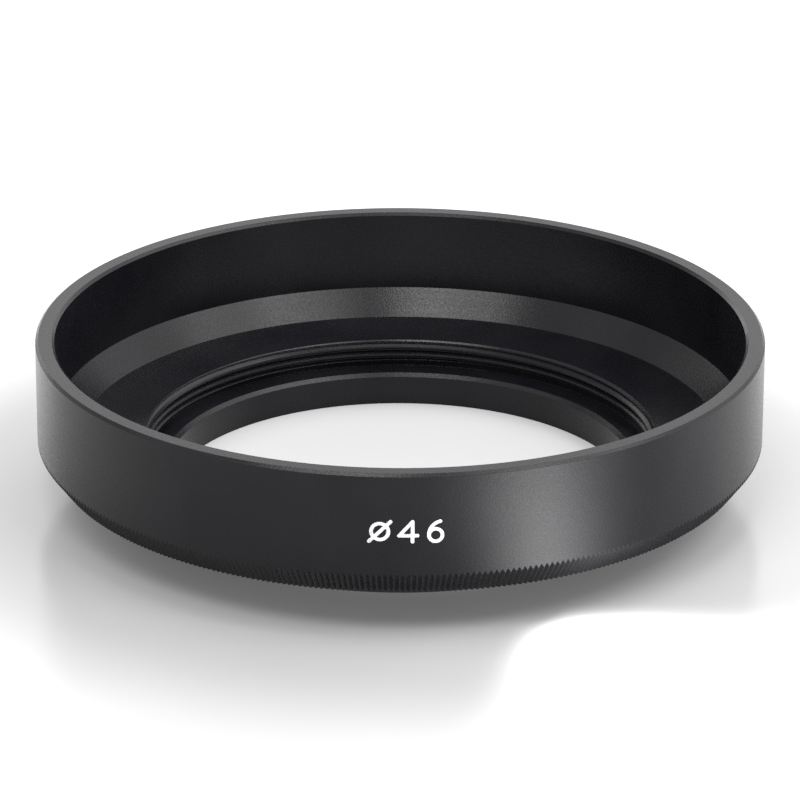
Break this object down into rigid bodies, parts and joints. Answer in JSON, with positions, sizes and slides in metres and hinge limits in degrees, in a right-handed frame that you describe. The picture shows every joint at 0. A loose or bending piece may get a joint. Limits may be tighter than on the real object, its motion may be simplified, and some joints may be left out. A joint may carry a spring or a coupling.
{
  "type": "lens hood",
  "caption": "Shallow round screw-in lens hood with a filter thread in its floor, a knurled lower edge and a rear male thread.",
  "frame": {"origin": "on the optical axis, in the plane of the rear end of the male thread, which the hood stands on when it is set down", "axes": "+Z along the optical axis out of the front of the hood, -Z into the lens, -Y towards the size mark"},
  "size_m": [0.065, 0.065, 0.0154],
  "materials": {
    "shell_black": "satin black anodised, fine turned grain",
    "ring_black": "satin black anodised",
    "mark_white": "matte paint in an engraving"
  },
  "bodies": {
    "root": {"hood_shell": "shell_black", "mount_ring": "ring_black", "size_mark_paint": "mark_white"}
  },
  "joints": []
}
